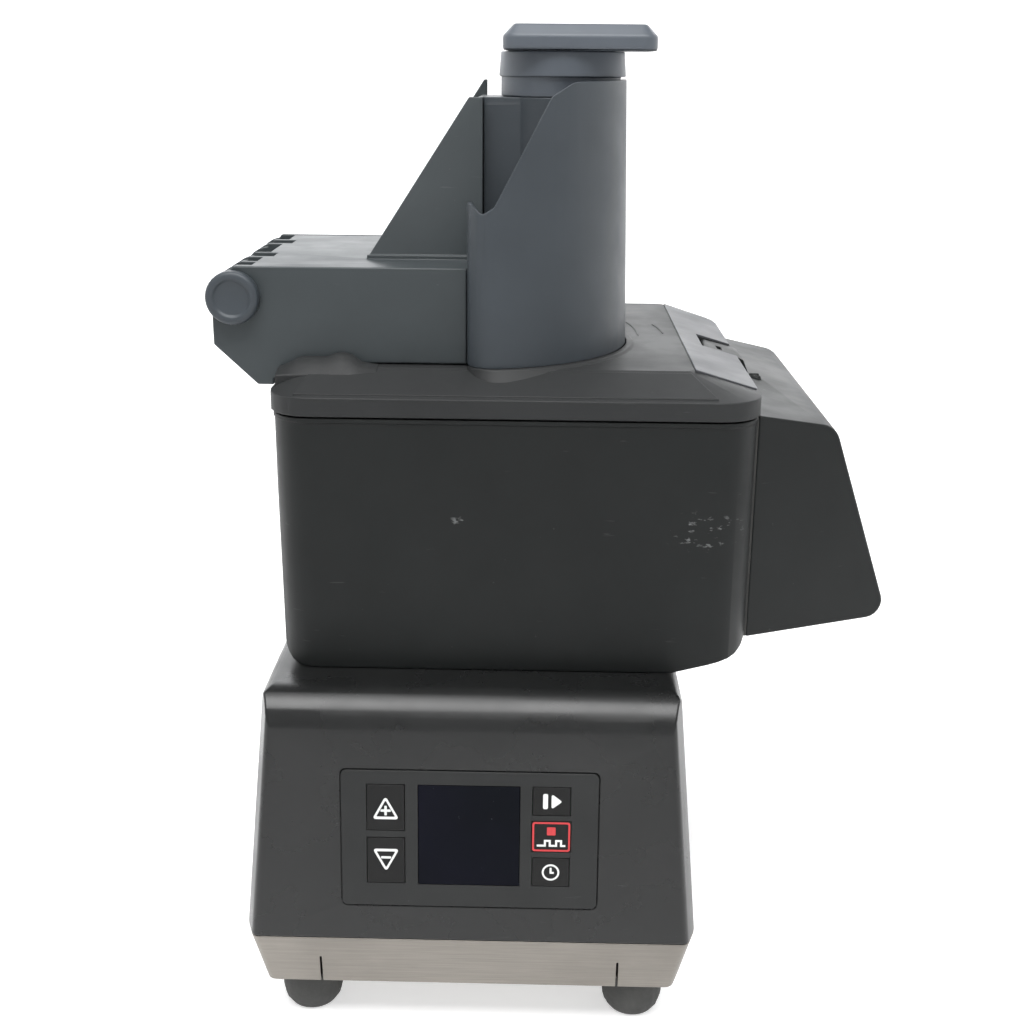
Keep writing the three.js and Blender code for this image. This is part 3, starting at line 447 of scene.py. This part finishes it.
for name, z, up in (("key_speed_up", 17.9, True), ("key_speed_down", -12.5, False)):
    x = LEFT_KEYS_X
    shift = -0.5 if up else 0.5
    on_panel(f"{name}_outline", [triangle(x, z, 7.2, up, 1.1), triangle(x, z + shift, 5.1, up, 0.4)],
             name, WHITE_INK, "key_black")
    level = z - 1.7 if up else z + 1.7
    on_panel(f"{name}_bar", [oblong(x, level, 5.4, 1.3, 0.3)],
             name, WHITE_INK, "key_black", thick=PRINT * 1.2)
    if up:
        on_panel(f"{name}_post", [oblong(x, level, 1.3, 5.4, 0.3)], name, WHITE_INK, "key_black")

on_panel("start_bar", [oblong(40.4, 23.1, 2.6, 8.6, 0.8)], "key_start", WHITE_INK, "key_black")
on_panel("start_arrow", [rounded([(43.6, 18.7, 0.7), (49.3, 23.1, 0.7), (43.6, 27.5, 0.7)], 6)],
         "key_start", WHITE_INK, "key_black")

on_panel("stop_border", [oblong(RIGHT_KEYS_X, 2.9, 20.2, 16.8, 1.4),
                         oblong(RIGHT_KEYS_X, 2.9, 18.2, 14.8, 0.8)],
         "key_stop", RED_INK, "key_black")
on_panel("stop_square", [oblong(RIGHT_KEYS_X, 6.1, 4.6, 4.6, 0.5)], "key_stop", RED_INK, "key_black")
PULSE = (
    (36.6, -2.2), (40.4, -2.2), (40.4, 0.6), (43.0, 0.6), (43.0, -2.2),
    (46.4, -2.2), (46.4, 0.6), (49.0, 0.6), (49.0, -2.2), (50.8, -2.2),
)
PULSE_STROKE = 1.1
for i, (start, end) in enumerate(zip(PULSE, PULSE[1:])):
    wide = abs(end[0] - start[0]) + PULSE_STROKE
    tall = abs(end[1] - start[1]) + PULSE_STROKE
    middle = ((start[0] + end[0]) / 2, (start[1] + end[1]) / 2)
    on_panel(f"pulse_{i}", [oblong(*middle, wide, tall, 0.2, 3)], "key_stop", WHITE_INK, "key_black",
             thick=PRINT * (1.0 + 0.08 * (i % 2)))

CLOCK = (RIGHT_KEYS_X, -17.7)


def circle(x, z, radius, steps=48):
    turns = [2 * math.pi * k / steps for k in range(steps)]
    return [(x + radius * math.cos(turn), z + radius * math.sin(turn)) for turn in turns]


on_panel("timer_ring", [circle(*CLOCK, 4.7), circle(*CLOCK, 3.7)], "key_timer", WHITE_INK, "key_black")
on_panel("timer_minute_hand", [oblong(CLOCK[0], CLOCK[1] + 1.1, 1.1, 3.2, 0.3)],
         "key_timer", WHITE_INK, "key_black")
on_panel("timer_hour_hand", [oblong(CLOCK[0] + 0.6, CLOCK[1] - 0.2, 2.3, 1.1, 0.3)],
         "key_timer", WHITE_INK, "key_black", thick=PRINT * 1.2)


# ------------------------------------------------------------------ chamber, outlet, lid and latch

refined("cutting_chamber", 0.5)
refined("outlet_chute", 1.1)
refined("lid", 0.5)
refined("lid_latch", 0.35, 2)

CHUTE_FRONT = [(109.5, -80.2, 333.6), (118, -76.6, 330.9), (130, -71.5, 327.5), (142, -66.4, 325.9)]
bead("outlet_edge_bead", CHUTE_FRONT, 0.9, "base", "chamber_black")

GASKET_OUTLINE = oblong(105.5, -80.7, 1.8, 3.4, 0.4, 3)
GASKET_ENDS = (209.5, 334.0)
gasket = bmesh.new()
skin(gasket, [[(x, y, z) for x, y in GASKET_OUTLINE] for z in GASKET_ENDS])
settle("outlet_gasket", gasket, "base", "rubber_black")

# The lid's top drops by LID_RISE along its right side from BEVEL_X, and along its front to LID_FRONT.
LID_TOP = 357.2
LID_RIM = 347
LID_RISE = 10.2
LID_FRONT = 104.6
BEVEL_X = 72
BEVEL_FALL = LID_RISE / 34.8
FRONT_FALL = LID_RISE / 31.6


def slab(name, outline_xy, height, thick, body, slot, edge):
    """A thin plate that follows a sloping surface; height gives its top, in millimetres, at (x, y)."""
    bm = bmesh.new()
    top = [(x, y, height(x, y)) for x, y in outline_xy]
    bottom = [(x, y, height(x, y) - thick) for x, y in outline_xy]
    skin(bm, [bottom, top])
    return soften(settle(name, bm, body, slot), edge, 3, 25.0)


side_plate = slab("lid_side_plate", [
    (72.4, -72.4), (105.2, -73.4), (106.2, -70.5), (106.2, 16.4), (85.4, 16.4), (85.4, 53.6),
    (106.2, 53.6), (106.2, 128.0), (104.4, 136.0), (100.8, 139.6), (72.4, 146.0),
], lambda x, y: LID_TOP - (x - BEVEL_X) * BEVEL_FALL + 0.9, 2.4, "lid", "lid_grey", 0.45)
# The side plate's lighter colour is a painted reflection.
side_plate.data.materials[0] = LID_PAINTED_SHEEN

slab("lid_front_plate", [
    (-139.0, -101.4), (82.0, -101.4), (70.0, -76.0), (-132.6, -76.0),
], lambda x, y: LID_RIM + (y + LID_FRONT) * FRONT_FALL + 0.55, 2.2, "lid", "lid_grey", 0.35)

SHELF = (
    (-151.6, 350.8), (-150.5, 354.1), (-145.4, 358.4), (-139.9, 361.4), (-132.6, 361.6),
    (-125.4, 361.6), (-121.2, 363.4), (-117.0, 364.0), (-111.9, 362.8), (-106.8, 358.9),
    (-97.5, 357.4),
)
SHELF_ROWS = ((-82.5, 0.04), (-77.5, 0.5), (-73.0, 0.88), (-69.5, 1.0), (-66.1, 1.0))
SHELF_BOTTOM = 345.6


def shelf_row(y, rise):
    """One section of the shelf, from the lid's surface up by the given share of its height."""
    foot = LID_RIM + min(LID_RISE, (y + LID_FRONT) * FRONT_FALL)
    crest = [(x, y, max(foot - 1.0, foot + (z - foot) * rise)) for x, z in SHELF]
    return crest + [(x, y, min(SHELF_BOTTOM, foot - 2.0)) for x, _ in SHELF[::-1]]


shelf = bmesh.new()
skin(shelf, [shelf_row(y, rise) for y, rise in SHELF_ROWS])
soften(settle("lid_shelf", shelf, "lid", "lid_grey", smooth=50.0), 0.5, 2, 40.0)

ARC_STEPS = 14
ARC_HEIGHT = 357.25
for index, (start, middle, end) in enumerate((
    ((42.5, 77.3), (46.9, 54.0), (47.9, 28.1)),
    ((58.8, 68.1), (62.0, 53.0), (63.4, 35.5)),
)):
    peak = [2 * m - (s + e) / 2 for s, m, e in zip(start, middle, end)]
    arc = []
    for k in range(ARC_STEPS + 1):
        t = k / ARC_STEPS
        first, second, third = (1 - t) ** 2, 2 * t * (1 - t), t ** 2
        place = [first * s + second * p + third * e for s, p, e in zip(start, peak, end)]
        arc.append((*place, ARC_HEIGHT))
    bead(f"lid_arc_{index + 1}", arc, 0.8, "lid", "lid_grey", flat=0.55)


# ------------------------------------------------------------------ hopper, bracket, lever and pushers

refined("hopper", 0.55)
refined("hinge_bracket", 0.8)
refined("lever_arm", 0.5)
refined("pusher", 0.5, 2)
# The tube pusher and its cap take the lighter copy of the hopper's grey, which is painted light.
for node, width in (("tube_pusher", 0.5), ("tube_pusher_cap", 0.9)):
    refined(node, width).data.materials[0] = HOPPER_GREY_PAINTED_LIGHT

KNOB_X, KNOB_Y, KNOB_Z = -174.7, -73.7, 393
KNOB_ROWS = (
    (0.0, 1.5), (8.6, 1.5), (9.2, 1.2), (9.6, 0.7), (10.1, 0.15), (10.8, 0.0), (12.2, 0.05),
    (13.3, 0.5), (14.0, 1.3), (14.3, 2.3), (14.3, 7.1), (14.0, 7.7), (5.4, 7.7), (5.0, 8.0),
    (5.0, 156.2), (4.4, 157.0), (0.0, 157.0),
)


def fluted(index, turn):
    return 1.0 - 0.012 * (0.5 + 0.5 * math.cos(turn * 36)) if index in (9, 10) else 1.0


lathe("lever_pin_turned", KNOB_ROWS, (KNOB_X, KNOB_Y, KNOB_Z), "lid", "hopper_grey",
      axis="Y", replaced=("lever_pin",), steps=108, teeth=fluted)

for node in ("cable_gland", "slicing_disc", "dicing_grid", "grid_frame", "ejector_disc", "disc_nut"):
    refined(node, 0.2, 2)

for name, carried in frame["nodes"].items():
    carried.data.materials.clear()
    carried.data.materials.append(LOOKS[SLOT_OF[name]])


# ------------------------------------------------------------------ floor, light and camera

# A round paper bowl: a flat floor, then a quarter bend up into a wall, in millimetres.
FLOOR_HUB = 20
FLOOR_FLAT = 2400
SWEEP = 1600
SWEEP_STEPS = 16
WALL_TOP = 4200
BOWL_SIDES = 64
bowl_profile = [(FLOOR_HUB, 0), (FLOOR_FLAT, 0)]
for step in range(1, SWEEP_STEPS + 1):
    bend = math.pi / 2 * step / SWEEP_STEPS
    bowl_profile.append((FLOOR_FLAT + SWEEP * math.sin(bend), SWEEP * (1 - math.cos(bend))))
bowl_profile.append((FLOOR_FLAT + SWEEP, WALL_TOP))
paper_bowl = bmesh.new()
bowl_rows = skin(paper_bowl, [
    [(x, y, height) for x, y in circle(0, 0, radius, BOWL_SIDES)]
    for radius, height in bowl_profile
], caps=False)
paper_bowl.faces.new(bowl_rows[0])
bmesh.ops.recalc_face_normals(paper_bowl, faces=paper_bowl.faces)
floor_mesh = bpy.data.meshes.new("floor")
paper_bowl.to_mesh(floor_mesh)
paper_bowl.free()
floor_mesh.shade_smooth()
floor = bpy.data.objects.new("floor", floor_mesh)
bpy.context.scene.collection.objects.link(floor)
paper = Shader("pale_floor", (0.80, 0.80, 0.80), 0.8, specular=0.2)
mottle = paper.ramp(paper.noise(2.0, 2.0), 0.3, 0.7)
paper.paint(paper.mix(mottle, (0.79, 0.79, 0.79), (0.81, 0.81, 0.81)))
paper.bsdf.inputs["Emission Color"].default_value = (1.0, 1.0, 1.0, 1.0)
# The paper glows behind the machine and fades in front of it, so that its front stays dark.
GLOW_FRONT_Y, GLOW_BACK_Y = -0.42, -0.13
GLOW_FRONT, GLOW_BACK = 0.06, 0.52
split = paper.nodes.new("ShaderNodeSeparateXYZ")
paper.links.new(paper.place, split.inputs[0])
glow = paper.ramp(split.outputs["Y"], GLOW_FRONT_Y, GLOW_BACK_Y, GLOW_FRONT, GLOW_BACK)
paper.links.new(glow, paper.bsdf.inputs["Emission Strength"])
floor_mesh.materials.append(paper.material)

world = bpy.data.worlds.new("studio")
world.use_nodes = True
world.node_tree.nodes["Background"].inputs["Color"].default_value = (0.93, 0.95, 1.0, 1.0)
world.node_tree.nodes["Background"].inputs["Strength"].default_value = 0.16
bpy.context.scene.world = world
bpy.context.scene.view_settings.view_transform = "Standard"


def softbox(name, place, aim, width, height, power, color=(1.0, 1.0, 1.0)):
    data = bpy.data.lights.new(name, "AREA")
    data.shape = "RECTANGLE"
    data.size = width
    data.size_y = height
    data.energy = power
    data.color = color
    lamp = bpy.data.objects.new(name, data)
    lamp.location = place
    lamp.rotation_euler = (Vector(aim) - Vector(place)).to_track_quat("-Z", "Y").to_euler()
    lamp.visible_camera = False
    bpy.context.scene.collection.objects.link(lamp)


softbox("back_window", (0.0, 2.7, 1.45), (0, 0, 0.35), 4.2, 1.7, 35.0, (0.96, 0.98, 1.0))
softbox("overhead", (-0.5, 0.0, 2.1), (0, 0, 0.3), 1.8, 1.2, 6.0)
softbox("front_strip", (0.0, -0.75, 2.1), (0, 0, 0.3), 2.2, 1.2, 64.0)

PITCH = math.radians(17.664)
YAW = math.radians(-1.228)
ROLL = math.radians(0.487)
CAMERA_PLACE = (-9.157, -812.957, 512.608)
SENSOR_WIDTH = 36.0
FOCAL_LENGTH = 49.48
forward = Vector((math.sin(YAW) * math.cos(PITCH), math.cos(YAW) * math.cos(PITCH), -math.sin(PITCH)))
level = Vector((math.cos(YAW), -math.sin(YAW), 0))
upright = level.cross(forward)
right = level * math.cos(ROLL) + upright * math.sin(ROLL)
up = upright * math.cos(ROLL) - level * math.sin(ROLL)
lens = bpy.data.cameras.new("camera")
lens.sensor_width = SENSOR_WIDTH
lens.lens = FOCAL_LENGTH
camera = bpy.data.objects.new("camera", lens)
turn = Matrix((right, up, -forward)).transposed().to_4x4()
camera.matrix_world = Matrix.Translation(Vector(CAMERA_PLACE) * MM) @ turn
bpy.context.scene.collection.objects.link(camera)
bpy.context.scene.camera = camera
